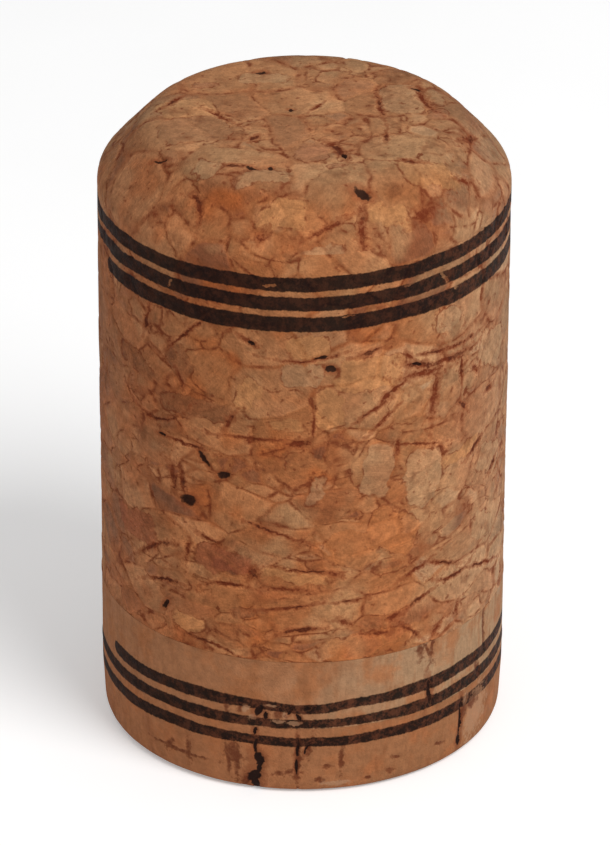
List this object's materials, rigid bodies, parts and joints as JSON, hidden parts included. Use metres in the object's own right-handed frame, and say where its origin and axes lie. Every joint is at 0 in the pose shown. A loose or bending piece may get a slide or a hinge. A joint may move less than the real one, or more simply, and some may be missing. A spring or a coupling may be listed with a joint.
{
  "type": "cork stopper",
  "caption": "Cylindrical cork stopper with a bevelled top, a pressed-granule shank and natural cork discs glued on at the base.",
  "frame": {"origin": "centre of the flat base, on the axis", "axes": "+Z along the stopper's axis, from the natural cork base to the bevelled top; +Y away from the side that shows in the main view; +X to its right"},
  "size_m": [0.0304, 0.0304, 0.0485],
  "materials": {
    "agglomerated_cork": "matt pressed cork granules with two groups of dark printed rings",
    "natural_cork_pale": "matt sanded natural cork, pale, with dark printed rings",
    "natural_cork_tan": "matt sanded natural cork, tan, with dark pores and one printed ring"
  },
  "bodies": {
    "root": {"agglomerated_shank": "agglomerated_cork", "inner_disc": "natural_cork_pale", "outer_disc": "natural_cork_tan"}
  },
  "joints": []
}
